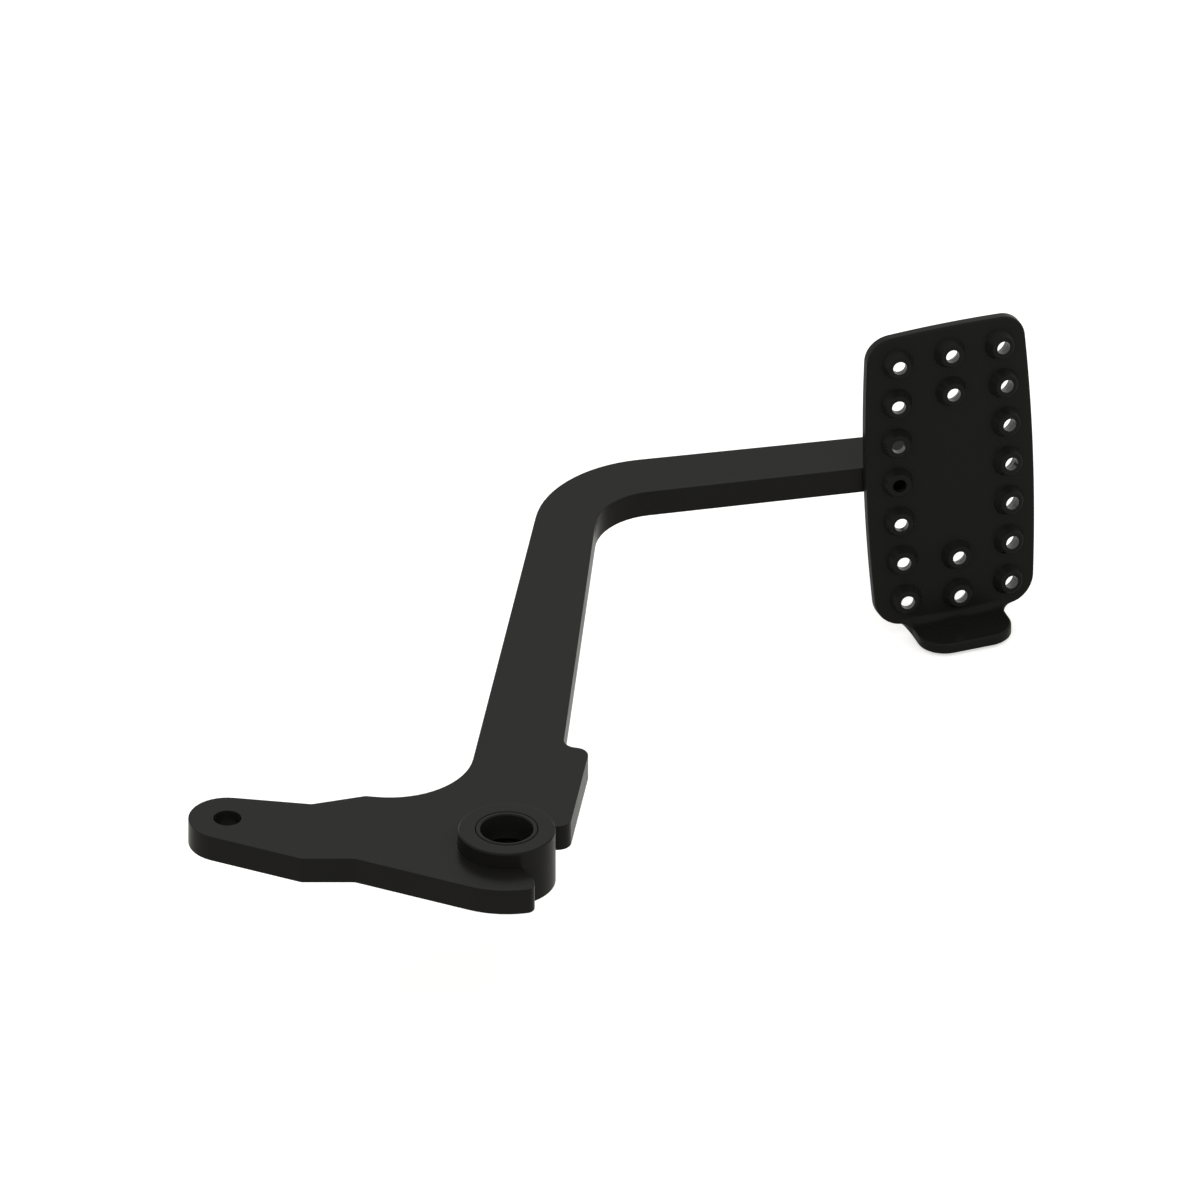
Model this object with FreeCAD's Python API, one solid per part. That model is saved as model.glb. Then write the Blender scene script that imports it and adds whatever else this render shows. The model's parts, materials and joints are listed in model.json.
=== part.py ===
import FreeCAD, Part
import math
import os

# A clutch pedal: a flat cut lever, a welded pivot boss, two pressed bushes and a welded, crowned grip pad.
# Origin on the pivot axis at the plate's mid thickness, +Z along that axis, +Y towards the arm's pad end.
# Millimetres and degrees.
Vector = FreeCAD.Vector

# Lever plate
plate_thickness = 10.0
tail_hole_x = -99.8
tail_hole_y = 16.6
tail_hole_diameter = 10.0
tail_end_radius = 14.0
tail_axis_angle = -16.7
tail_half_taper = 7.9
valley_x = -69.7
rise_angle = 16.0
back_step = 8.4
small_corner_radius = 3.0
throat_radius = 30.0
arm_angle = 82.2
arm_back_offset = 19.6
arm_front_offset = 20.8
arm_taper = 3.4
shoulder_distance = 66.6
shoulder_slope = -4.2
shoulder_corner_radius = 5.0
shoulder_root_radius = 5.0
elbow_distance = 2.9232
elbow_inner_offset = 1.1
elbow_inner_radius = 24.0
elbow_outer_distance = 25.6936
elbow_outer_radius = 46.0
head_angle = 11.8
head_taper = 1.0
head_past_pad_centre = 8.0
head_corner_radius = 6.0
hub_radius = 32.5
hub_step_y = -10.9
hub_step_x = -73.3
mouth_x = 10.0
mouth_y = 10.9
claw_tip_radius = 5.0
claw_angle = 12.0
claw_corner_radius = 3.5
claw_nose_y = -24.7
claw_nose_slant = 30.0
claw_nose_radius = 8.0

# Pivot boss and bushes
boss_diameter = 35.0
boss_length = 22.0
boss_chamfer = 0.5
bush_bore = 19.05
bush_wall = 1.575
bush_length = 10.0
bush_chamfer = 0.35

# Pad
pad_centre_x = 159.4
pad_centre_y = 256.1
pad_centre_z = 0.4
pad_yaw = 20.4
pad_lean = 5.0
pad_thickness = 4.0
pad_crown_radius = 190.0
pad_half_width = 31.8
pad_half_height = 58.9
pad_side_radius = 700.0
pad_end_radius = 200.0
pad_corner_radius = 10.0
pad_rim_chamfer = 1.0
grip_hole_diameter = 5.7
grip_base_diameter = 12.0
grip_land_diameter = 8.0
grip_height = 3.7
grip_rows = 7
grip_row_pitch = 15.75
grip_side_offset = 21.1
grip_side_radius = 715.0
grip_middle_first = 32.9
grip_middle_pitch = 15.5
lip_reach = 16.8
lip_half_width = 17.0
lip_inset = 2.1
lip_shift = -0.5
lip_corner_radius = 10.0
lip_root_radius = 6.5
lip_notch_radius = 4.0
lip_bend_radius = 3.0

# Fits
weld_gap = 0.1
press_gap = 0.01
overrun = 5.0


def direction(angle):
    """Unit vector in the plate's plane at an angle from +X."""
    return Vector(math.cos(math.radians(angle)), math.sin(math.radians(angle)), 0)


def crossing(p, p_angle, q, q_angle):
    """Point where the line through p meets the line through q."""
    a = direction(p_angle)
    b = direction(q_angle)
    gap = q - p
    return p + a * ((gap.x * b.y - gap.y * b.x) / (a.x * b.y - a.y * b.x))


def corner_arc(before, at, after, radius):
    """Start, middle and end of the arc that rounds the corner at a point."""
    into = (before - at).normalize()
    out = (after - at).normalize()
    half = into.getAngle(out) / 2
    reach = radius / math.tan(half)
    middle = (into + out).normalize() * (radius / math.sin(half) - radius)
    return at + into * reach, at + middle, at + out * reach


def rounded_wire(corners):
    """Closed wire through (point, radius) corners, straight between the rounded ones."""
    runs = []
    for i, (at, radius) in enumerate(corners):
        before = corners[i - 1][0]
        after = corners[(i + 1) % len(corners)][0]
        runs.append(corner_arc(before, at, after, radius) if radius else (at, at, at))
    edges = []
    for i, (start, middle, end) in enumerate(runs):
        if start.distanceToPoint(end) > 1e-6:
            edges.append(Part.Arc(start, middle, end).toShape())
        following = runs[(i + 1) % len(runs)][0]
        if end.distanceToPoint(following) > 1e-4:
            edges.append(Part.makeLine(end, following))
    return Part.Wire(Part.__sortEdges__(edges))


def prism(corners, bottom, height):
    """Rounded outline in the XY plane, extruded upwards."""
    solid = Part.Face(rounded_wire(corners)).extrude(Vector(0, 0, height))
    solid.translate(Vector(0, 0, bottom))
    return solid


def revolved(points):
    """Solid of revolution about Z from (radius, height) points."""
    outline = Part.makePolygon([Vector(r, 0, z) for r, z in points + points[:1]])
    return Part.Face(outline).revolve(Vector(0, 0, 0), Vector(0, 0, 1), 360)


def rod(diameter, length, centre=Vector(0, 0, 0)):
    """Round bar along Z, centred on its mid length."""
    return Part.makeCylinder(diameter / 2, length, centre - Vector(0, 0, length / 2))


def pad_placement():
    """Pad frame: x across, y up its length, z out of its face, origin at the crown's front centre."""
    turn = FreeCAD.Rotation(Vector(0, 0, 1), pad_yaw)
    stand = FreeCAD.Rotation(Vector(1, 0, 0), 90 - pad_lean)
    return FreeCAD.Placement(Vector(pad_centre_x, pad_centre_y, pad_centre_z), turn.multiply(stand))


def tail_corners():
    """Tail end, from the lower step round to the upper peak."""
    hole = Vector(tail_hole_x, tail_hole_y, 0)
    upper_angle = tail_axis_angle + tail_half_taper
    lower_angle = tail_axis_angle - tail_half_taper
    upper = hole + direction(upper_angle + 90) * tail_end_radius
    lower = hole + direction(lower_angle - 90) * tail_end_radius
    end = hole - direction(tail_axis_angle) * tail_end_radius
    step_angle = tail_axis_angle + 90
    valley = crossing(upper, upper_angle, Vector(valley_x, 0, 0), 90)
    back = upper + direction(upper_angle + 90) * back_step
    peak = crossing(valley, rise_angle, back, upper_angle)
    throat = crossing(back, upper_angle, direction(arm_angle + 90) * arm_back_offset, arm_angle)
    return [
        (crossing(lower, lower_angle, Vector(0, hub_step_y, 0), 0), small_corner_radius),
        (crossing(lower, lower_angle, end, step_angle), tail_end_radius),
        (crossing(upper, upper_angle, end, step_angle), tail_end_radius),
        (valley, small_corner_radius),
        (peak, small_corner_radius),
        (throat, throat_radius),
    ]


def arm_point(along, across):
    """Place on the arm from its distance along it and to the front of it, seen from the pivot."""
    return direction(arm_angle) * along + direction(arm_angle - 90) * across


def elbow_point(behind, across):
    """Place on the arm whose head line lies a distance behind the pad's centre, square to the head."""
    seat = Vector(pad_centre_x, pad_centre_y, 0) + direction(head_angle + 90) * behind
    return crossing(arm_point(0, across), arm_angle, seat, head_angle)


def arm_corners():
    """Arm from the outer elbow, round its end behind the pad, and back to the shoulder."""
    outer = elbow_point(elbow_outer_distance, -arm_back_offset)
    inner = elbow_point(elbow_distance, elbow_inner_offset)
    stop = Vector(pad_centre_x, pad_centre_y, 0) + direction(pad_yaw) * head_past_pad_centre
    outer_angle = head_angle - head_taper
    front_angle = arm_angle + arm_taper
    shoulder = arm_point(shoulder_distance, arm_front_offset)
    shoulder_angle = arm_angle - 90 + shoulder_slope
    return [
        (outer, elbow_outer_radius),
        (crossing(outer, outer_angle, stop, head_angle + 90), head_corner_radius),
        (crossing(inner, head_angle, stop, head_angle + 90), 0),
        (inner, elbow_inner_radius),
        (crossing(inner, front_angle, shoulder, shoulder_angle), shoulder_root_radius),
        (shoulder, shoulder_corner_radius),
    ]


def hub_corners():
    """Two claws that hold the boss, the open mouth between them, and the hub's round underside."""
    flank = direction(arm_angle - 90) * arm_front_offset
    upper = Vector(0, mouth_y, 0)
    nose = Vector(mouth_x, claw_nose_y, 0)
    lower_angle = tail_axis_angle - tail_half_taper
    under = direction(lower_angle - 90) * hub_radius
    claw = direction(claw_angle - 90) * hub_radius
    return [
        (crossing(flank, arm_angle, upper, 0), claw_tip_radius),
        (crossing(upper, 0, nose, 90 + claw_nose_slant), 0),
        (nose, claw_nose_radius),
        (crossing(nose, 90, claw, claw_angle), claw_corner_radius),
        (crossing(claw, claw_angle, under, lower_angle), hub_radius),
        (crossing(under, lower_angle, Vector(0, hub_step_y, 0), 0), small_corner_radius),
    ]


def behind_pad():
    """Room in front of the pad's back face, which the arm's end is cut to."""
    depth = pad_half_width
    reach = 2 * plate_thickness
    room = Part.makeBox(2 * pad_half_width, reach, 2 * depth, Vector(-pad_half_width, -reach / 2, -depth))
    seat = pad_crown_radius - pad_thickness - weld_gap
    core = Part.makeCylinder(seat, 2 * reach, Vector(0, -reach, -pad_crown_radius), Vector(0, 1, 0))
    room = room.cut(core)
    room.Placement = pad_placement()
    return room


def lever_plate():
    corners = tail_corners() + arm_corners() + hub_corners()
    plate = prism(corners, -plate_thickness / 2, plate_thickness)
    plate = plate.cut(rod(boss_diameter + 2 * weld_gap, boss_length))
    plate = plate.cut(rod(tail_hole_diameter, boss_length, Vector(tail_hole_x, tail_hole_y, 0)))
    return plate.cut(behind_pad())


def pivot_boss():
    bore = bush_bore / 2 + bush_wall + press_gap
    outer = boss_diameter / 2
    half = boss_length / 2
    cut = boss_chamfer
    return revolved([
        (bore + cut, -half), (outer - cut, -half), (outer, cut - half), (outer, half - cut),
        (outer - cut, half), (bore + cut, half), (bore, half - cut), (bore, cut - half),
    ])


def bush(side):
    """Bush pressed in flush with one end of the boss: side is 1 for the upper end, -1 for the lower."""
    inner = bush_bore / 2
    outer = inner + bush_wall
    top = side * boss_length / 2
    low = side * (boss_length / 2 - bush_length)
    cut = bush_chamfer
    return revolved([
        (inner, low), (outer, low), (outer, top - side * cut),
        (outer - cut, top), (inner + cut, top), (inner, top - side * cut),
    ])


def circles_meet(p, p_radius, q, q_radius):
    """Upper of the two points at p_radius from p and at q_radius from q."""
    span = p.distanceToPoint(q)
    along = (span ** 2 + p_radius ** 2 - q_radius ** 2) / (2 * span)
    rise = math.sqrt(p_radius ** 2 - along ** 2)
    axis = (q - p).normalize()
    across = Vector(-axis.y, axis.x, 0)
    meetings = [p + axis * along + across * side for side in (rise, -rise)]
    return max(meetings, key=lambda v: v.x + v.y)


def pad_outline():
    """Barrel-shaped outline: four shallow arcs joined by tangent corner arcs, extruded through the sheet."""
    side = Vector(pad_half_width - pad_side_radius, 0, 0)
    end = Vector(0, pad_half_height - pad_end_radius, 0)
    corner = circles_meet(side, pad_side_radius - pad_corner_radius, end, pad_end_radius - pad_corner_radius)
    on_side = side + (corner - side).normalize() * pad_side_radius
    on_end = end + (corner - end).normalize() * pad_end_radius
    tip = corner + (on_side + on_end - corner * 2).normalize() * pad_corner_radius

    def mirrored(point, x, y):
        return Vector(point.x * x, point.y * y, 0)

    edges = []
    for x, y in ((1, 1), (-1, 1), (-1, -1), (1, -1)):
        edges.append(Part.Arc(*[mirrored(point, x, y) for point in (on_side, tip, on_end)]))
    for y in (1, -1):
        middle = Vector(0, pad_half_height * y, 0)
        edges.append(Part.Arc(mirrored(on_end, 1, y), middle, mirrored(on_end, -1, y)))
    for x in (1, -1):
        middle = Vector(pad_half_width * x, 0, 0)
        edges.append(Part.Arc(mirrored(on_side, x, 1), middle, mirrored(on_side, x, -1)))
    wire = Part.Wire(Part.__sortEdges__([edge.toShape() for edge in edges]))
    depth = pad_thickness + pad_half_width
    solid = Part.Face(wire).extrude(Vector(0, 0, depth))
    solid.translate(Vector(0, 0, overrun - depth))
    return solid


def crown_cylinder(radius):
    """Cylinder along the pad's length whose front line is the crown, with its seam at the back."""
    length = 4 * pad_half_height
    axis = Vector(0, 0, -pad_crown_radius)
    solid = Part.makeCylinder(radius, length, axis - Vector(0, length / 2, 0), Vector(0, 1, 0))
    solid.rotate(axis, Vector(0, 1, 0), 180)
    return solid


def lip_section(corners, half_width):
    """Outline in the plane across the fold, given as (length, out) corners, extruded across the pad."""
    solid = prism([(Vector(b, c, 0), radius) for b, c, radius in corners], -half_width, 2 * half_width)
    solid.rotate(Vector(0, 0, 0), Vector(1, 1, 1), 120)
    return solid


def lip_sizes():
    """Upper and lower face of the lip, half width of its flared root, faces of the leg inside the sheet."""
    top = lip_inset - pad_half_height
    flare = lip_half_width + lip_root_radius
    sag = flare ** 2 / (2 * pad_crown_radius)
    leg = lip_bend_radius + pad_thickness
    front = -sag - leg * math.tan(math.radians(pad_lean))
    return top, top - pad_thickness, flare, front, front - pad_thickness / 2


def levelled(shape):
    """Shape turned from square to the pad to level, about the fold's inner line, and set in its place."""
    top, _, _, leg_front, _ = lip_sizes()
    shape.rotate(Vector(0, top, leg_front), Vector(1, 0, 0), pad_lean)
    shape.translate(Vector(lip_shift, 0, 0))
    return shape


def lip():
    """Folded lip at the pad's foot: a tongue with a flared root, and the section of a bent sheet."""
    lip_top, bottom, flare, leg_front, leg_back = lip_sizes()
    leg_top = lip_top + lip_bend_radius + pad_thickness
    tongue = prism([
        (Vector(-flare, leg_back - overrun, 0), 0),
        (Vector(flare, leg_back - overrun, 0), 0),
        (Vector(flare, leg_front, 0), 0),
        (Vector(lip_half_width, leg_front, 0), lip_root_radius),
        (Vector(lip_half_width, lip_reach, 0), lip_corner_radius),
        (Vector(-lip_half_width, lip_reach, 0), lip_corner_radius),
        (Vector(-lip_half_width, leg_front, 0), lip_root_radius),
        (Vector(-flare, leg_front, 0), 0),
    ], -leg_top - overrun, leg_top - bottom + 2 * overrun)
    tongue.rotate(Vector(0, 0, 0), Vector(1, 0, 0), 90)
    section = lip_section([
        (leg_top, leg_front, 0),
        (lip_top, leg_front, lip_bend_radius),
        (lip_top, lip_reach + overrun, 0),
        (bottom, lip_reach + overrun, 0),
        (bottom, leg_back, lip_bend_radius + pad_thickness / 2),
        (leg_top, leg_back, 0),
    ], flare + overrun)
    return levelled(section.common(tongue)).common(lip_front())


def lip_front():
    """Lip seen from the front: wide inside the pad's lower edge, below it as narrow as the tongue."""
    _, bottom, flare, _, leg_back = lip_sizes()
    edge = flare ** 2 / (2 * pad_end_radius) - pad_half_height
    corners = []
    for side in (1, -1):
        half = [
            (Vector(side * flare + lip_shift, 0, 0), 0),
            (Vector(side * flare + lip_shift, edge, 0), 0),
            (Vector(side * lip_half_width + lip_shift, edge, 0), lip_notch_radius),
            (Vector(side * lip_half_width + lip_shift, bottom - pad_thickness - overrun, 0), 0),
        ]
        corners += half[::side]
    depth = leg_back - overrun
    return prism(corners, depth, lip_reach + overrun - depth)


def bend_room():
    """Room outside the lip's bend, which the sheet's foot is cut to."""
    _, bottom, flare, _, leg_back = lip_sizes()
    bend = lip_bend_radius + pad_thickness / 2
    outside = lip_section([
        (bottom - overrun, leg_back - pad_thickness, 0),
        (bottom + bend, leg_back - pad_thickness, 0),
        (bottom + bend, leg_back + bend, 0),
        (bottom - overrun, leg_back + bend, 0),
    ], flare)
    axis = Vector(-flare - overrun, bottom + bend, leg_back + bend)
    return levelled(outside.cut(Part.makeCylinder(bend, 2 * (flare + overrun), axis, Vector(1, 0, 0))))


def grip_places():
    """Placements of the grip holes: two bowed side columns, and a middle column with a bare centre."""
    middle = (grip_rows - 1) / 2
    spots = []
    for row in range(grip_rows):
        along = (row - middle) * grip_row_pitch
        across = grip_side_offset - along ** 2 / (2 * grip_side_radius)
        spots += [(-across, along), (across, along)]
    for along in (grip_middle_first, grip_middle_first + grip_middle_pitch):
        spots += [(0, along), (0, -along)]
    places = []
    for across, along in spots:
        tilt = math.asin(across / pad_crown_radius)
        drop = pad_crown_radius * (1 - math.cos(tilt))
        turn = FreeCAD.Rotation(Vector(0, 1, 0), math.degrees(tilt))
        places.append(FreeCAD.Placement(Vector(across, along, -drop), turn))
    return places


def grip_mound():
    """Raised ring round a grip hole: a low cone that starts inside the sheet."""
    base = grip_base_diameter / 2
    land = grip_land_diameter / 2
    sink = pad_thickness / 4
    spread = base + (base - land) * sink / grip_height
    return Part.makeCone(spread, land, grip_height + sink, Vector(0, 0, -sink))


def grip_hole():
    """Hole through a mound and the sheet behind it."""
    return rod(grip_hole_diameter, 2 * (pad_thickness + grip_height + overrun))


def pedal_pad():
    sheet = pad_outline().common(crown_cylinder(pad_crown_radius))
    sheet = sheet.cut(crown_cylinder(pad_crown_radius - pad_thickness))
    broad = [face for face in sheet.Faces if face.Area > pad_half_width * pad_half_height]
    front = max(broad, key=lambda face: face.CenterOfMass.z)
    sheet = sheet.makeChamfer(pad_rim_chamfer, front.OuterWire.Edges)
    pad = sheet.cut(bend_room()).fuse(lip())
    places = grip_places()
    for shape, joined in ((grip_mound(), True), (grip_hole(), False)):
        copies = []
        for place in places:
            copy = shape.copy()
            copy.Placement = place
            copies.append(copy)
        pad = pad.fuse(copies) if joined else pad.cut(copies)
    pad = pad.removeSplitter()
    pad.Placement = pad_placement()
    return pad


os.makedirs("parts", exist_ok=True)
nodes = {
    "lever_plate": lever_plate(),
    "pivot_boss": pivot_boss(),
    "upper_bush": bush(1),
    "lower_bush": bush(-1),
    "pedal_pad": pedal_pad(),
}
for name, shape in nodes.items():
    shape.exportStep(f"parts/{name}.step")
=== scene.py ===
"""Black foot pedal: a cut lever with a bushed pivot boss and a crowned grip pad, dressed for display."""
import json
import math

import bmesh
import bpy
from mathutils import Matrix, Vector


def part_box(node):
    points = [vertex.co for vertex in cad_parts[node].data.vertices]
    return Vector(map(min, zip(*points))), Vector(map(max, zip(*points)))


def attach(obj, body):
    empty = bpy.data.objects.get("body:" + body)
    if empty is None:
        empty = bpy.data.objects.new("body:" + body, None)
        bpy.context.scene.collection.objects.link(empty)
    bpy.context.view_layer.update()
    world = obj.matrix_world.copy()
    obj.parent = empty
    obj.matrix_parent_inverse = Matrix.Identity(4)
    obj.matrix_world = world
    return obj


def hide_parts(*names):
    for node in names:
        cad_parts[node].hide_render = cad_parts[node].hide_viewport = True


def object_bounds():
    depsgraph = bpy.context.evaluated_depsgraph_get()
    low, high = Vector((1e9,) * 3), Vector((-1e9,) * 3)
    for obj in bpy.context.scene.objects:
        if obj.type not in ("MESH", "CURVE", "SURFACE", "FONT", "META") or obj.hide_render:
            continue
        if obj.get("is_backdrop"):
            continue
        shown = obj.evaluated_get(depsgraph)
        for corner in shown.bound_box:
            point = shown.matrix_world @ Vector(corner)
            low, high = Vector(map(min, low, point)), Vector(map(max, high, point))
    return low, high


bl_info = {
    "name": "Foot pedal",
    "version": (1, 1, 0),
    "blender": (4, 5, 0),
    "location": "3D View > Sidebar > Pedal",
    "description": "Builds a coated foot pedal lever with its boss, bushes and grip pad",
    "category": "Object",
}

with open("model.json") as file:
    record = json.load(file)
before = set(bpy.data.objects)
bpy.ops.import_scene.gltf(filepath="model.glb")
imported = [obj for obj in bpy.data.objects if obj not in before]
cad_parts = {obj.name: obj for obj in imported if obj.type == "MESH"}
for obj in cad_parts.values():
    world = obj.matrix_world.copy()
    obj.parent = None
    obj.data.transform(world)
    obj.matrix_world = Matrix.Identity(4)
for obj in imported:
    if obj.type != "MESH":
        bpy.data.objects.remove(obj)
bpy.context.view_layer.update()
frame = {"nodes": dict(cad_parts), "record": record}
MM = 0.001
SAME_PLACE = 0.001 * MM
UPRIGHT = Vector((0, 0, 1))

# Fineness of the round forms
TURNED_STEPS = 128
SOFT_SEGMENTS = 2
SIDE_STEPS = 48
END_STEPS = 32
CORNER_STEPS = 16
FOOT_STEPS = 4
NOTCH_STEPS = 12
LIP_STEPS = 20
RIM_STEPS = 5
BACK_STEPS = 3
GRIP_STEPS = 40
CREST_STEPS = 6
EDGE_STEPS = 4
THROAT_STEPS = 3
ROOT_STEPS = 5
CROWN_STRIPS = 24
FOLD_STEPS = 12

# Angles that tell flat from sharp
FLAT_ANGLE = math.radians(0.5)
LEAST_BEND = 1e-4
SOFTEN_ANGLE = math.radians(35)
SHARP_ANGLE = math.radians(40)

# Texture of the coating
CLOUD_SCALE = 35
CLOUD_DETAIL = 3
PEEL_SCALE = 1600
PEEL_DETAIL = 2
PEEL_DEPTH = 0.2 * MM
CLOUD_CHANGE = 0.1
NOISE_LOW = 0.3
NOISE_HIGH = 0.7

# Stage
FLOOR_HALF_SIZE = 6
PAPER_ROUGHNESS = 0.9
CAMERA_DISTANCE = 1.5
CAMERA_REACH = 10


def length(name, description, millimetres):
    """Length property given in millimetres."""
    return bpy.props.FloatProperty(
        name=name, description=description, default=millimetres * MM, unit="LENGTH")


def angle(name, description, degrees):
    """Angle property given in degrees."""
    return bpy.props.FloatProperty(
        name=name, description=description, default=math.radians(degrees), subtype="ANGLE")


def colour(name, description, value):
    """Colour property in linear light."""
    return bpy.props.FloatVectorProperty(
        name=name, description=description, default=value, size=3, subtype="COLOR", min=0, max=1)


def share(name, description, value, top=1):
    """Plain number from zero to a top value."""
    return bpy.props.FloatProperty(name=name, description=description, default=value, min=0, max=top)


class PedalFinish(bpy.types.PropertyGroup):
    """Coating and liner finishes, and the softness of cut edges."""

    coat_colour: colour("Coating", "Colour of the black coating", (0.0094, 0.0092, 0.0083))
    coat_roughness: share("Coating roughness", "Roughness of the coating", 0.25)
    coat_ior: share("Coating IOR", "Strength of the coating's reflections", 1.175, 2)
    pad_colour: colour("Pad", "Colour of the pad's satin black coating", (0.01, 0.01, 0.0091))
    pad_roughness: share("Pad roughness", "Roughness of the pad's coating", 0.28)
    pad_ior: share("Pad IOR", "Strength of the pad's reflections", 1.15, 2)
    wall_roughness: share("Hole wall roughness", "Roughness of the walls of the grip holes", 0.25)
    wall_ior: share("Hole wall IOR", "Strength of the hole walls' reflections", 1.55, 2)
    peel: share("Orange peel", "Strength of the coating's fine orange peel", 0.04)
    liner_colour: colour("Liner", "Colour of the bushes' bearing liner", (0.0108, 0.0108, 0.0096))
    liner_roughness: share("Liner roughness", "Roughness of the bearing liner", 0.3)
    edge_round: length("Edge rounding", "Softening of the cut edges under the coating", 0.18)
    turned_round: length("Turned edge rounding", "Softening of the turned edges of boss and bushes", 0.1)
    boss_chamfer: length("Boss chamfer", "Chamfer of the boss's outer and inner edges", 0.5)
    bush_chamfer: length("Bush chamfer", "Chamfer of the edges of the bushes' flush ends", 0.35)


class PedalPad(bpy.types.PropertyGroup):
    """Sheet, grips and folded lip of the pad."""

    place: bpy.props.FloatVectorProperty(
        name="Place", description="Middle of the pad's front face", size=3, subtype="TRANSLATION",
        default=(159.4 * MM, 256.1 * MM, 0.4 * MM))
    yaw: angle("Yaw", "Turn of the pad about the pivot's direction", 20.4)
    lean: angle("Lean", "Backward lean of the pad", 5)
    thickness: length("Thickness", "Thickness of the sheet", 4)
    crown: length("Crown", "Radius of the crown across the face", 190)
    half_width: length("Half width", "Half of the width at the waist", 31.8)
    half_height: length("Half height", "Half of the height at the middle", 58.9)
    side_radius: length("Side radius", "Radius of the bowed sides", 700)
    end_radius: length("End radius", "Radius of the bowed ends", 200)
    corner_radius: length("Corner radius", "Radius of the two upper corners", 10)
    foot_radius: length("Foot radius", "Radius of the lower end beside the lip", 120)
    foot_corner: length("Foot corner", "Radius of the two lower corners", 10)
    rim_round: length("Rim rounding", "Rounding of the front edge", 0.9)
    back_round: length("Back rounding", "Rounding of the back edge", 0.4)
    rows: bpy.props.IntProperty(name="Rows", description="Grips in a side column", default=7, min=3)
    row_pitch: length("Row pitch", "Spacing of the side grips", 15.7)
    side_offset: length("Side offset", "Middle of the pad to a side column", 20.95)
    side_bow: length("Column bow", "Radius that the side columns follow", 715)
    middle_first: length("Middle first", "Pad middle to the first middle grip", 32.75)
    middle_pitch: length("Middle pitch", "Spacing of the two middle grips", 15.45)
    grips_across: length("Grips across", "Sideways offset of all the grips", 0.15)
    grips_along: length("Grips along", "Upward offset of all the grips", 0.47)
    hole_radius: length("Hole radius", "Radius of the grip holes", 2.48)
    grip_height: length("Grip height", "Height of a grip above the face", 3.7)
    grip_slope: angle("Grip slope", "Steepness of a grip's flank", 65)
    grip_foot: length("Grip foot", "Rounding where a grip rises from the sheet", 0.15)
    grip_crest: length("Grip crest", "Rounding of a grip's flank into its land", 0.6)
    grip_land: length("Grip land", "Radius of the flat land round a hole", 3.75)
    hole_round: length("Hole rounding", "Rounding of a hole's edges", 0.1)
    wall_drop: length("Wall drop", "Depth of a hole's wall below the land", 2.6)
    hollow_slope: angle("Hollow slope", "Steepness of the hollow behind a grip", 62)
    hollow_round: length("Hollow rounding", "Rounding of the hollow into the back face", 0.8)
    hollow_lean: share("Hollow lean", "Lean of the hollows beyond the crown's, as a share of it", 2, 4)
    lip_half_width: length("Lip half width", "Half of the folded lip's width", 17.4)
    lip_shift: length("Lip shift", "Sideways offset of the lip", -0.5)
    lip_reach: length("Lip reach", "Length of the lip in front of the pad", 17.5)
    lip_rise: length("Lip rise", "Lip's upper face above the pad's lower edge", 1.9)
    lip_corner: length("Lip corner", "Radius of the lip's corners", 10)
    lip_notch: length("Lip notch", "Radius at the root of the lip", 4.6)
    lip_fade: length("Lip fade", "Width over which the fold runs out beside the lip", 5)
    fold_radius: length("Fold radius", "Inner radius of the fold", 3)
    seat_half_width: length("Seat half width", "Half of the width of the arm's seat behind a grip", 3.5)
    seat_reach: length("Seat reach", "Reach of the arm's seat into the hollow behind a grip", 1.5)


class PedalStage(bpy.types.PropertyGroup):
    """Camera, floor and light."""

    view_width: length("View width", "Width of the frame", 428.57)
    view_elevation: angle("Elevation", "Height angle of the camera", 32)
    view_across: length("Across", "Frame centre to the right of the pivot", 33.3)
    view_up: length("Up", "Frame centre above the pivot in the frame", 90.9)
    floor_drop: length("Floor drop", "Floor below the lowest point", 1)
    floor_colour: colour("Floor", "Colour of the floor paper", (0.74, 0.73, 0.7))
    floor_lift: share("Floor lift", "Brightness added to the floor for the camera", 0.56)
    floor_gleam: share("Floor gleam", "Brightness added to the floor in reflections", 0.05)
    light: share("Light", "Strength of the white surround", 1.0, 4)


def noise(nodes, links, coords, scale, detail):
    """Noise texture on the piece's own coordinates."""
    texture = nodes.new("ShaderNodeTexNoise")
    texture.inputs["Scale"].default_value = scale
    texture.inputs["Detail"].default_value = detail
    links.new(coords.outputs["Object"], texture.inputs["Vector"])
    return texture


def spread(nodes, links, source, low, high):
    """Maps a texture's middle range to low and high."""
    ramp = nodes.new("ShaderNodeMapRange")
    ramp.inputs["From Min"].default_value = NOISE_LOW
    ramp.inputs["From Max"].default_value = NOISE_HIGH
    ramp.inputs["To Min"].default_value = low
    ramp.inputs["To Max"].default_value = high
    links.new(source, ramp.inputs["Value"])
    return ramp.outputs["Result"]


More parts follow.
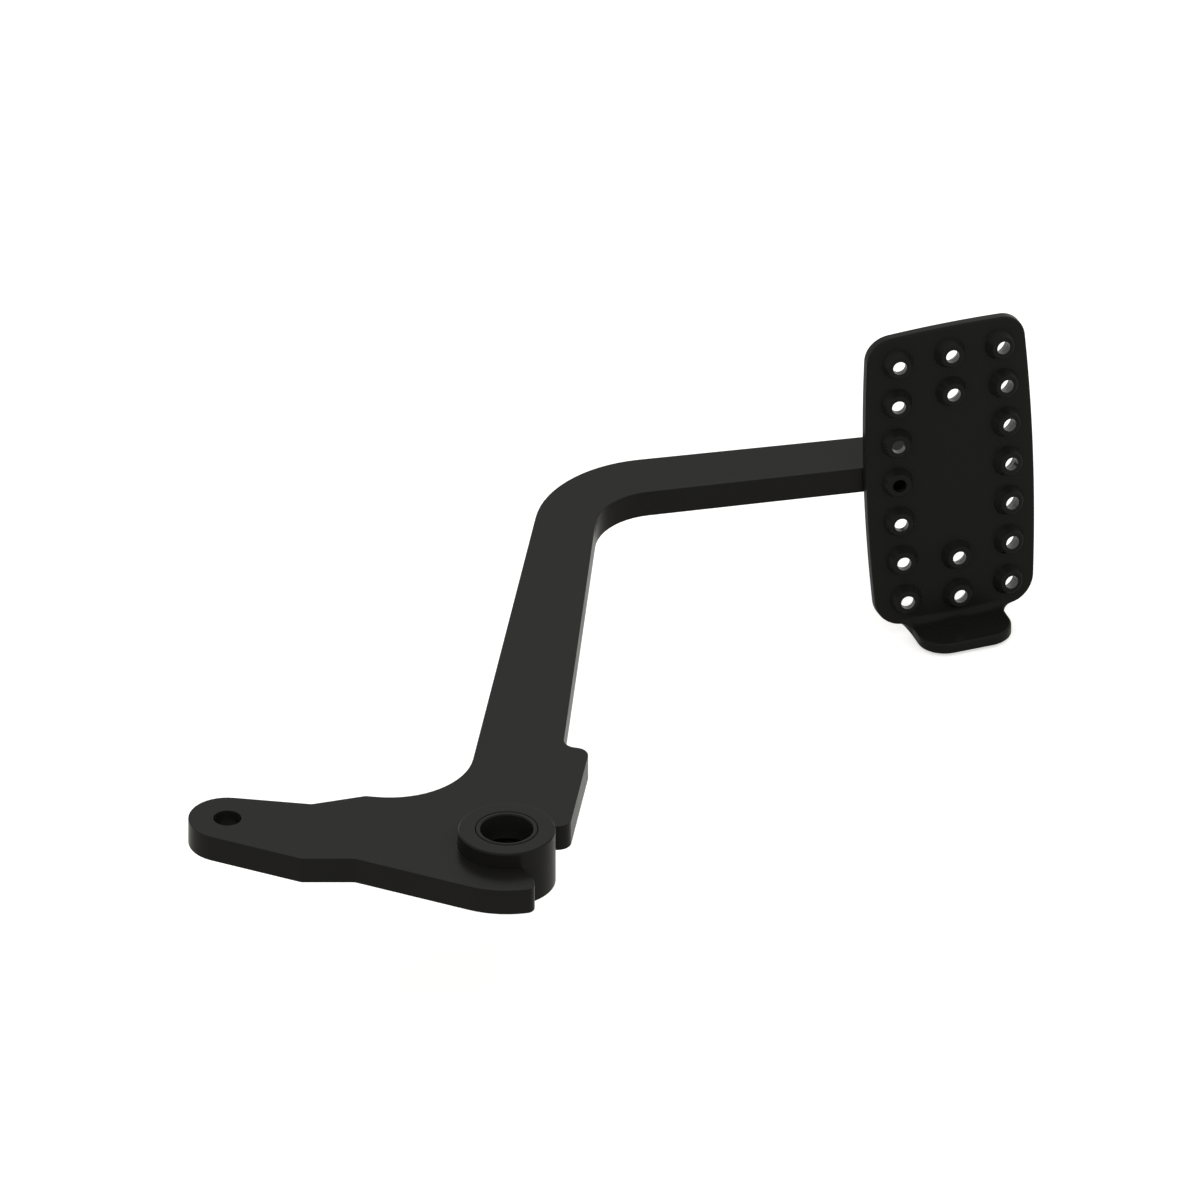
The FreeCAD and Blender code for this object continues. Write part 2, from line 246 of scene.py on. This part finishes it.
def black_coating(name, tint, roughness, ior, peel):
    """Smooth black coating: fine orange peel, and faint cloudy changes of gloss and tone."""
    material = bpy.data.materials.new(name)
    material.use_nodes = True
    nodes = material.node_tree.nodes
    links = material.node_tree.links
    shader = nodes["Principled BSDF"]
    shader.inputs["IOR"].default_value = ior
    coords = nodes.new("ShaderNodeTexCoord")
    clouds = noise(nodes, links, coords, CLOUD_SCALE, CLOUD_DETAIL)
    grain = noise(nodes, links, coords, PEEL_SCALE, PEEL_DETAIL)
    low = 1 - CLOUD_CHANGE
    high = 1 + CLOUD_CHANGE
    tone = nodes.new("ShaderNodeMixRGB")
    tone.inputs["Color1"].default_value = [c * low for c in tint] + [1]
    tone.inputs["Color2"].default_value = [c * high for c in tint] + [1]
    links.new(clouds.outputs["Fac"], tone.inputs["Fac"])
    links.new(tone.outputs["Color"], shader.inputs["Base Color"])
    gloss = spread(nodes, links, clouds.outputs["Fac"], roughness * low, roughness * high)
    links.new(gloss, shader.inputs["Roughness"])
    bump = nodes.new("ShaderNodeBump")
    bump.inputs["Strength"].default_value = peel
    bump.inputs["Distance"].default_value = PEEL_DEPTH
    links.new(grain.outputs["Fac"], bump.inputs["Height"])
    links.new(bump.outputs["Normal"], shader.inputs["Normal"])
    return material


def coating(finish, name):
    """The lever's coating as a material of its own for one piece."""
    return black_coating(name, finish.coat_colour, finish.coat_roughness, finish.coat_ior, finish.peel)


def sweep(bm, vert, centre, turn, steps, axis=UPRIGHT):
    """Carries a vertex round a centre, leaving an arc of edges, and returns the arc's last vertex."""
    spun = bmesh.ops.spin(bm, geom=[vert], cent=centre, axis=axis, angle=turn, steps=steps)
    return [item for item in spun["geom_last"] if isinstance(item, bmesh.types.BMVert)][0]


def run_to(bm, vert, place):
    """Draws a straight edge from a vertex to a place and returns the vertex there."""
    last = bmesh.ops.extrude_vert_indiv(bm, verts=[vert])["verts"][0]
    last.co = place
    return last


def soften(bm, width):
    """Rounds every sharp edge a little."""
    sharp = [edge for edge in bm.edges if edge.is_manifold and edge.calc_face_angle() > SOFTEN_ANGLE]
    bmesh.ops.bevel(
        bm, geom=sharp, offset=width, offset_type="OFFSET", segments=SOFT_SEGMENTS, profile=0.5,
        affect="EDGES", material=-1, clamp_overlap=True)


def to_mesh(bm, name):
    """Smooth-shaded mesh with outward faces from a bmesh."""
    bmesh.ops.recalc_face_normals(bm, faces=bm.faces)
    for face in bm.faces:
        face.smooth = True
    mesh = bpy.data.meshes.new(name)
    bm.to_mesh(mesh)
    bm.free()
    return mesh


def add_piece(name, mesh, node, slot, *materials):
    """Puts a piece in the scene in place of a solid."""
    for material in materials:
        mesh.materials.append(material)
    mesh.set_sharp_from_angle(angle=SHARP_ANGLE)
    piece = bpy.data.objects.new(name, mesh)
    bpy.context.scene.collection.objects.link(piece)
    level = piece.modifiers.new("flat_faces", "WEIGHTED_NORMAL")
    level.keep_sharp = True
    level.weight = 100
    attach(piece, "root")
    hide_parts(node)
    return piece


def cut_plate(node, width, pad):
    """Copy of the plate's solid with merged faces, its seat at the pad, and softened edges."""
    bm = bmesh.new()
    bm.from_mesh(frame["nodes"][node].data)
    bmesh.ops.remove_doubles(bm, verts=bm.verts, dist=SAME_PLACE)
    bmesh.ops.dissolve_limit(bm, angle_limit=FLAT_ANGLE, verts=bm.verts, edges=bm.edges)
    seat_arm(bm, pad)
    soften(bm, width)
    return to_mesh(bm, node)


def pad_stand(pad):
    """Placement of the pad: x across, y up its length, z out of its face."""
    turn = Matrix.Rotation(pad.yaw, 4, "Z") @ Matrix.Rotation(math.pi / 2 - pad.lean, 4, "X")
    return Matrix.Translation(pad.place) @ turn


def seat_arm(bm, pad):
    """Carries the arm's front face into the hollow behind the grip that it passes."""
    stand = pad_stand(pad)
    across = stand.to_3x3() @ Vector((1, 0, 0))
    facing = stand.to_3x3() @ UPRIGHT
    hollow = stand @ Vector((-pad.side_offset, 0, -pad.thickness))
    least_area = 200 * MM ** 2
    most_turn = 0.9
    broad = [face for face in bm.faces
             if face.normal.dot(facing) > most_turn and face.calc_area() > least_area]
    front = min(broad, key=lambda face: abs((hollow - face.verts[0].co).dot(face.normal)))
    parts = [front]
    for side in (-1, 1):
        parts = split(bm, parts, hollow + across * side * pad.seat_half_width, across)
    seat = min(parts, key=lambda face: (face.calc_center_median() - hollow).length)
    raised = bmesh.ops.extrude_face_region(bm, geom=[seat])["geom"]
    verts = [item for item in raised if isinstance(item, bmesh.types.BMVert)]
    bmesh.ops.translate(bm, verts=verts, vec=facing * pad.seat_reach)
    bmesh.ops.delete(bm, geom=[seat], context="FACES_ONLY")


def turned(name, points, width):
    """Turned ring about the pivot axis from (radius, height) points."""
    bm = bmesh.new()
    first = bm.verts.new((points[0][0], 0, points[0][1]))
    last = first
    for radius, height in points[1:]:
        last = run_to(bm, last, Vector((radius, 0, height)))
    bmesh.ops.contextual_create(bm, geom=[last, first])
    bmesh.ops.spin(
        bm, geom=bm.verts[:] + bm.edges[:], cent=(0, 0, 0), axis=UPRIGHT, angle=math.tau,
        steps=TURNED_STEPS, use_merge=True)
    bmesh.ops.remove_doubles(bm, verts=bm.verts, dist=SAME_PLACE)
    soften(bm, width)
    return to_mesh(bm, name)


def boss_points(chamfer):
    """Section of the boss, with its outer radius, length and bore from the solids."""
    low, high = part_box("pivot_boss")
    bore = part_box("upper_bush")[1].x
    outer = high.x
    return [
        (bore + chamfer, low.z), (outer - chamfer, low.z),
        (outer, low.z + chamfer), (outer, high.z - chamfer),
        (outer - chamfer, high.z), (bore + chamfer, high.z),
        (bore, high.z - chamfer), (bore, low.z + chamfer),
    ]


def bush_points(node, chamfer):
    """Section of a bush, chamfered at the end that is flush with the boss."""
    low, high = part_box(node)
    flush, inside = (high.z, low.z) if high.z > -low.z else (low.z, high.z)
    inner = mount_radius("pivot_bore")
    outer = high.x
    shoulder = flush - math.copysign(chamfer, flush)
    return [
        (inner, inside), (outer, inside), (outer, shoulder),
        (outer - chamfer, flush), (inner + chamfer, flush), (inner, shoulder),
    ]


def mount_radius(name):
    """Radius of one of the record's bores."""
    for mount in frame["record"]["mounts"]:
        if mount["name"] == name:
            return mount["dims"]["r_mm"] * MM
    raise ValueError(f"the record has no mount named {name}")


def lip_fold(pad):
    """Turn of the fold, its length along the sheet, and where along the pad it starts."""
    turn = math.pi / 2 - pad.lean
    along = turn * (pad.fold_radius + pad.thickness / 2)
    start = pad.lip_rise - pad.half_height + pad.fold_radius * math.tan(turn / 2)
    return turn, along, start


def pad_corner(pad, end_radius, corner_radius):
    """Centre of the corner arc between side and end, and the turns of the side, the end and the corner."""
    side = Vector((pad.half_width - pad.side_radius, 0, 0))
    end = Vector((0, pad.half_height - end_radius, 0))
    to_side = pad.side_radius - corner_radius
    to_end = end_radius - corner_radius
    span = end - side
    lean = math.acos((span.length_squared + to_side ** 2 - to_end ** 2) / (2 * span.length * to_side))
    centre = side + Matrix.Rotation(lean, 3, "Z") @ span.normalized() * to_side
    side_turn = math.atan2(centre.y, centre.x - side.x)
    end_turn = math.atan2(centre.x, centre.y - end.y)
    return centre, side_turn, end_turn, math.pi / 2 - side_turn - end_turn


def pad_blank(bm, pad):
    """Flat outline of the sheet with its unfolded lip, as one face."""
    side = Vector((pad.half_width - pad.side_radius, 0, 0))
    head = Vector((0, pad.half_height - pad.end_radius, 0))
    foot = Vector((0, pad.foot_radius - pad.half_height, 0))
    corner, side_turn, end_turn, corner_turn = pad_corner(pad, pad.end_radius, pad.corner_radius)
    toe, toe_side_turn, toe_end_turn, toe_turn = pad_corner(pad, pad.foot_radius, pad.foot_corner)
    turn, along, start = lip_fold(pad)
    tip = start - along - pad.lip_reach + pad.fold_radius * math.tan(turn / 2)

    first = bm.verts.new(side + Matrix.Rotation(-toe_side_turn, 3, "Z") @ Vector((pad.side_radius, 0, 0)))
    last = sweep(bm, first, side, toe_side_turn + side_turn, SIDE_STEPS)
    last = sweep(bm, last, corner, corner_turn, CORNER_STEPS)
    last = sweep(bm, last, head, 2 * end_turn, END_STEPS)
    last = sweep(bm, last, Vector((-corner.x, corner.y, 0)), corner_turn, CORNER_STEPS)
    last = sweep(bm, last, -side, side_turn + toe_side_turn, SIDE_STEPS)
    last = sweep(bm, last, -toe, toe_turn, CORNER_STEPS)

    left = pad.lip_shift - pad.lip_half_width
    right = pad.lip_shift + pad.lip_half_width
    notch_left = notch_centre(pad, foot, left - pad.lip_notch)
    notch_right = notch_centre(pad, foot, right + pad.lip_notch)
    to_left = math.asin(-notch_left.x / (pad.foot_radius + pad.lip_notch))
    to_right = math.asin(notch_right.x / (pad.foot_radius + pad.lip_notch))
    lip_left = Vector((left + pad.lip_corner, tip + pad.lip_corner, 0))
    lip_right = Vector((right - pad.lip_corner, tip + pad.lip_corner, 0))
    last = sweep(bm, last, foot, toe_end_turn - to_left, FOOT_STEPS)
    last = sweep(bm, last, notch_left, to_left - math.pi / 2, NOTCH_STEPS)
    last = run_to(bm, last, Vector((left, lip_left.y, 0)))
    last = sweep(bm, last, lip_left, math.pi / 2, LIP_STEPS)
    last = run_to(bm, last, Vector((lip_right.x, tip, 0)))
    last = sweep(bm, last, lip_right, math.pi / 2, LIP_STEPS)
    last = run_to(bm, last, Vector((right, notch_right.y, 0)))
    last = sweep(bm, last, notch_right, to_right - math.pi / 2, NOTCH_STEPS)
    last = sweep(bm, last, foot, toe_end_turn - to_right, FOOT_STEPS)
    sweep(bm, last, Vector((toe.x, -toe.y, 0)), toe_turn, CORNER_STEPS)
    bmesh.ops.remove_doubles(bm, verts=bm.verts, dist=10 * SAME_PLACE)
    return bmesh.ops.contextual_create(bm, geom=bm.edges[:])["faces"][0]


def notch_centre(pad, foot, across):
    """Centre of the round notch beside the lip's root, which touches the pad's lower edge."""
    reach = pad.foot_radius + pad.lip_notch
    return Vector((across, foot.y - math.sqrt(reach ** 2 - across ** 2), 0))


def round_rim(bm, face, radius, steps):
    """Rounds a face's rim by rings that close in as they rise."""
    before = 0
    for step in range(1, steps + 1):
        after = math.pi / 2 * step / steps
        bmesh.ops.inset_region(
            bm, faces=[face], use_even_offset=True, use_boundary=True,
            thickness=radius * (math.cos(before) - math.cos(after)),
            depth=radius * (math.sin(after) - math.sin(before)))
        before = after


def pad_slab(bm, pad):
    """Flat sheet with rounded rims, open at its two broad faces."""
    bottom = pad_blank(bm, pad)
    raised = bmesh.ops.extrude_face_region(bm, geom=[bottom], use_keep_orig=True)["geom"]
    top = [item for item in raised if isinstance(item, bmesh.types.BMFace)][0]
    bmesh.ops.translate(bm, verts=bottom.verts, vec=UPRIGHT * (pad.back_round - pad.thickness))
    bmesh.ops.translate(bm, verts=top.verts, vec=UPRIGHT * -pad.rim_round)
    bmesh.ops.recalc_face_normals(bm, faces=bm.faces)
    round_rim(bm, top, pad.rim_round, RIM_STEPS)
    round_rim(bm, bottom, pad.back_round, BACK_STEPS)
    bmesh.ops.delete(bm, geom=[top, bottom], context="FACES_ONLY")


def grip_places(pad):
    """Places of the grips: two bowed side columns, and a middle column with a bare centre."""
    places = []
    for row in range(pad.rows):
        along = (row - (pad.rows - 1) / 2) * pad.row_pitch
        across = pad.side_offset - along ** 2 / (2 * pad.side_bow)
        places += [(-across, along), (across, along)]
    for along in (pad.middle_first, pad.middle_first + pad.middle_pitch):
        places += [(0, along), (0, -along)]
    return [(across + pad.grips_across, along + pad.grips_along) for across, along in places]


def grip(bm, pad, across, along):
    """Drawn grip: a flat land round a hole, and the hollow that the drawing leaves behind it."""
    slope = pad.grip_slope
    foot = pad.grip_foot
    crest = pad.grip_crest
    edge = pad.hole_round
    top = pad.grip_height
    wall_end = top - pad.wall_drop
    land = Vector((pad.grip_land, 0, top - crest))
    flank_top = land + crest * Vector((math.sin(slope), 0, math.cos(slope)))
    flank_low = foot * (1 - math.cos(slope))
    base = flank_top.x + (flank_top.z - flank_low) / math.tan(slope) + foot * math.sin(slope)
    hollow = pad.hollow_slope
    mouth_round = pad.hollow_round
    throat = Vector((pad.hole_radius + edge, 0, wall_end))
    hollow_top = throat - edge * Vector((math.sin(hollow), 0, math.cos(hollow)))
    hollow_low = mouth_round * (1 - math.cos(hollow)) - pad.thickness
    hollow_edge = hollow_top.x + (hollow_top.z - hollow_low) / math.tan(hollow)
    mouth = hollow_edge + mouth_round * math.sin(hollow)
    place = Vector((across, along, 0))
    rim = Vector((throat.x, 0, top - edge))
    turn_axis = Vector((0, -1, 0))

    known = set(bm.verts)
    last = bm.verts.new(place + Vector((base, 0, 0)))
    last = sweep(bm, last, place + Vector((base, 0, foot)), -slope, ROOT_STEPS, turn_axis)
    last = run_to(bm, last, place + flank_top)
    last = sweep(bm, last, place + land, slope, CREST_STEPS, turn_axis)
    last = run_to(bm, last, place + Vector((rim.x, 0, top)))
    last = sweep(bm, last, place + rim, math.pi / 2, EDGE_STEPS, turn_axis)
    last = run_to(bm, last, place + Vector((pad.hole_radius, 0, wall_end)))
    last = sweep(bm, last, place + throat, math.pi / 2 - hollow, THROAT_STEPS, turn_axis)
    last = run_to(bm, last, place + Vector((hollow_edge, 0, hollow_low)))
    sweep(bm, last, place + Vector((mouth, 0, mouth_round - pad.thickness)), hollow, ROOT_STEPS, turn_axis)
    section = [vert for vert in bm.verts if vert not in known]
    edges = {edge for vert in section for edge in vert.link_edges}
    bmesh.ops.spin(
        bm, geom=section + list(edges), cent=place, axis=UPRIGHT, angle=math.tau,
        steps=GRIP_STEPS, use_merge=True)
    ring = [vert for vert in bm.verts if vert not in known]
    bmesh.ops.remove_doubles(bm, verts=ring, dist=SAME_PLACE)
    ring = [vert for vert in bm.verts if vert not in known]
    wall = {vert for vert in ring if (vert.co - place).xy.length < pad.hole_radius + SAME_PLACE}
    for face in {face for vert in wall for face in vert.link_faces}:
        face.material_index = int(all(vert in wall for vert in face.verts))
    for vert in ring:
        behind = min(vert.co.z, 0) * pad.hollow_lean
        vert.co.x += (vert.co.z + behind) * across / pad.crown


def fill_face(bm, pad, height):
    """Fills one broad face between the rim and the grips, in strips narrow enough to follow the crown."""
    edges = [edge for edge in bm.edges if edge.is_boundary
             and all(abs(vert.co.z - height) < SAME_PLACE for vert in edge.verts)]
    filled = bmesh.ops.triangle_fill(bm, edges=edges, use_beauty=True, normal=UPRIGHT)["geom"]
    faces = [item for item in filled if isinstance(item, bmesh.types.BMFace)]
    for strip in range(1 - CROWN_STRIPS // 2, CROWN_STRIPS // 2):
        place = Vector((2 * pad.half_width * strip / CROWN_STRIPS, 0, 0))
        faces = split(bm, faces, place, Vector((1, 0, 0)))


def split(bm, faces, place, across):
    """Splits faces along a plane and returns them with the new ones."""
    geom = set(faces)
    for face in faces:
        geom.update(face.verts)
        geom.update(face.edges)
    cut = bmesh.ops.bisect_plane(bm, geom=list(geom), dist=SAME_PLACE, plane_co=place, plane_no=across)
    return [item for item in cut["geom"] if isinstance(item, bmesh.types.BMFace)]


def bend_sheet(bm, pad):
    """Crowns the flat sheet, and folds the lip forward until it is level."""
    turn, along, start = lip_fold(pad)
    for step in range(FOLD_STEPS + 1):
        low = [face for face in bm.faces if min(vert.co.y for vert in face.verts) < start]
        split(bm, low, Vector((0, start - along * step / FOLD_STEPS, 0)), Vector((0, 1, 0)))
    for vert in bm.verts:
        x, y, height = vert.co
        sag = math.sqrt((pad.crown + height) ** 2 - x ** 2) - pad.crown - height
        past = start - y
        beside = abs(x - pad.lip_shift) - pad.lip_half_width
        fade = 1 - min(max(beside / pad.lip_fade, 0), 1)
        bent = turn * fade * min(past / along, 1)
        if bent > LEAST_BEND:
            radius = along / (turn * fade) - pad.thickness / 2
            rest = max(past - along, 0)
            y = start - (radius - height) * math.sin(bent) - rest * math.cos(bent)
            height = radius - (radius - height) * math.cos(bent) + rest * math.sin(bent)
            sag *= 1 - fade * min(past / along, 1)
        vert.co = Vector((x, y, height + sag))


def grip_pad(pad):
    """The whole pad: sheet, grips, crown and fold, set in its place."""
    bm = bmesh.new()
    pad_slab(bm, pad)
    for across, along in grip_places(pad):
        grip(bm, pad, across, along)
    for height in (0, -pad.thickness):
        fill_face(bm, pad, height)
    bend_sheet(bm, pad)
    bmesh.ops.transform(bm, matrix=pad_stand(pad), verts=bm.verts)
    return to_mesh(bm, "pad")


class PEDAL_OT_lever(bpy.types.Operator):
    """Builds the lever plate"""

    bl_idname = "pedal.lever"
    bl_label = "Lever"

    def execute(self, context):
        finish = context.scene.pedal_finish
        mesh = cut_plate("lever_plate", finish.edge_round, context.scene.pedal_pad)
        add_piece("lever", mesh, "lever_plate", "lever_finish", coating(finish, "lever_coating"))
        return {"FINISHED"}


class PEDAL_OT_pivot(bpy.types.Operator):
    """Builds the boss and its two bushes"""

    bl_idname = "pedal.pivot"
    bl_label = "Pivot"

    def execute(self, context):
        finish = context.scene.pedal_finish
        mesh = turned("boss", boss_points(finish.boss_chamfer), finish.turned_round)
        add_piece("boss", mesh, "pivot_boss", "boss_finish", coating(finish, "boss_coating"))
        liner = black_coating(
            "bush_liner", finish.liner_colour, finish.liner_roughness, finish.coat_ior, finish.peel)
        for side in ("upper", "lower"):
            node = side + "_bush"
            mesh = turned(node, bush_points(node, finish.bush_chamfer), finish.turned_round)
            add_piece(side + "_sleeve", mesh, node, "bush_liner", liner)
        return {"FINISHED"}


class PEDAL_OT_pad(bpy.types.Operator):
    """Builds the grip pad"""

    bl_idname = "pedal.pad"
    bl_label = "Pad"

    def execute(self, context):
        finish = context.scene.pedal_finish
        satin = black_coating(
            "pad_coating", finish.pad_colour, finish.pad_roughness, finish.pad_ior, finish.peel)
        walls = black_coating(
            "hole_walls", finish.pad_colour, finish.wall_roughness, finish.wall_ior, finish.peel)
        add_piece("pad", grip_pad(context.scene.pedal_pad), "pedal_pad", "pad_finish", satin, walls)
        return {"FINISHED"}


class PEDAL_OT_stage(bpy.types.Operator):
    """Sets up the floor, light and camera"""

    bl_idname = "pedal.stage"
    bl_label = "Stage"

    def execute(self, context):
        stage = context.scene.pedal_stage
        context.scene.view_settings.view_transform = "Standard"
        self.floor(context.scene, stage)
        self.light(context.scene, stage)
        self.camera(context.scene, stage)
        return {"FINISHED"}

    def floor(self, scene, stage):
        """Pale paper floor just under the pedal."""
        mesh = bpy.data.meshes.new("floor")
        bm = bmesh.new()
        bmesh.ops.create_grid(bm, x_segments=1, y_segments=1, size=FLOOR_HALF_SIZE)
        bmesh.ops.translate(bm, vec=UPRIGHT * (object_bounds()[0].z - stage.floor_drop), verts=bm.verts)
        bm.to_mesh(mesh)
        bm.free()
        floor = bpy.data.objects.new("floor", mesh)
        scene.collection.objects.link(floor)
        floor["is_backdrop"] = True
        paper = bpy.data.materials.new("floor_paper")
        paper.use_nodes = True
        nodes = paper.node_tree.nodes
        links = paper.node_tree.links
        shader = nodes["Principled BSDF"]
        shader.inputs["Base Color"].default_value = list(stage.floor_colour) + [1]
        shader.inputs["Roughness"].default_value = PAPER_ROUGHNESS
        shader.inputs["Emission Color"].default_value = (1, 1, 1, 1)
        path = nodes.new("ShaderNodeLightPath")
        glow = shader.inputs["Emission Strength"]
        rays = {
            "Is Camera Ray": stage.floor_lift,
            "Is Glossy Ray": stage.floor_gleam,
            "Is Transmission Ray": stage.floor_gleam,
        }
        for ray, strength in rays.items():
            lift = nodes.new("ShaderNodeMath")
            lift.operation = "MULTIPLY_ADD"
            lift.inputs[1].default_value = strength
            lift.inputs[2].default_value = 0
            links.new(path.outputs[ray], lift.inputs[0])
            links.new(lift.outputs[0], glow)
            glow = lift.inputs[2]
        mesh.materials.append(paper)

    def light(self, scene, stage):
        """Plain white surround."""
        world = bpy.data.worlds.new("studio")
        world.use_nodes = True
        background = world.node_tree.nodes["Background"]
        background.inputs["Color"].default_value = (1, 1, 1, 1)
        background.inputs["Strength"].default_value = stage.light
        scene.world = world

    def camera(self, scene, stage):
        """Parallel-projection camera that looks down on the pedal from the front."""
        data = bpy.data.cameras.new("camera")
        data.type = "ORTHO"
        data.ortho_scale = stage.view_width
        data.clip_end = CAMERA_REACH
        tilt = stage.view_elevation
        back = Vector((0, -math.cos(tilt), math.sin(tilt)))
        up = Vector((0, math.sin(tilt), math.cos(tilt)))
        camera = bpy.data.objects.new("camera", data)
        camera.location = Vector((stage.view_across, 0, 0)) + up * stage.view_up + back * CAMERA_DISTANCE
        camera.rotation_euler = (math.pi / 2 - tilt, 0, 0)
        scene.collection.objects.link(camera)
        scene.camera = camera


class PEDAL_PT_panel(bpy.types.Panel):
    """Pedal tools"""

    bl_idname = "PEDAL_PT_panel"
    bl_label = "Foot pedal"
    bl_space_type = "VIEW_3D"
    bl_region_type = "UI"
    bl_category = "Pedal"

    def draw(self, context):
        for item in OPERATORS:
            self.layout.operator(item.bl_idname)


OPERATORS = (PEDAL_OT_lever, PEDAL_OT_pivot, PEDAL_OT_pad, PEDAL_OT_stage)
CLASSES = (PedalFinish, PedalPad, PedalStage) + OPERATORS + (PEDAL_PT_panel,)


def register():
    """Adds the classes and the scene's settings."""
    for item in CLASSES:
        bpy.utils.register_class(item)
    bpy.types.Scene.pedal_finish = bpy.props.PointerProperty(type=PedalFinish)
    bpy.types.Scene.pedal_pad = bpy.props.PointerProperty(type=PedalPad)
    bpy.types.Scene.pedal_stage = bpy.props.PointerProperty(type=PedalStage)


def unregister():
    """Takes the settings and the classes away again."""
    del bpy.types.Scene.pedal_stage
    del bpy.types.Scene.pedal_pad
    del bpy.types.Scene.pedal_finish
    for item in reversed(CLASSES):
        bpy.utils.unregister_class(item)


def main():
    """Builds the pedal and its stage."""
    register()
    bpy.ops.pedal.lever()
    bpy.ops.pedal.pivot()
    bpy.ops.pedal.pad()
    bpy.ops.pedal.stage()


if __name__ == "__main__":
    main()
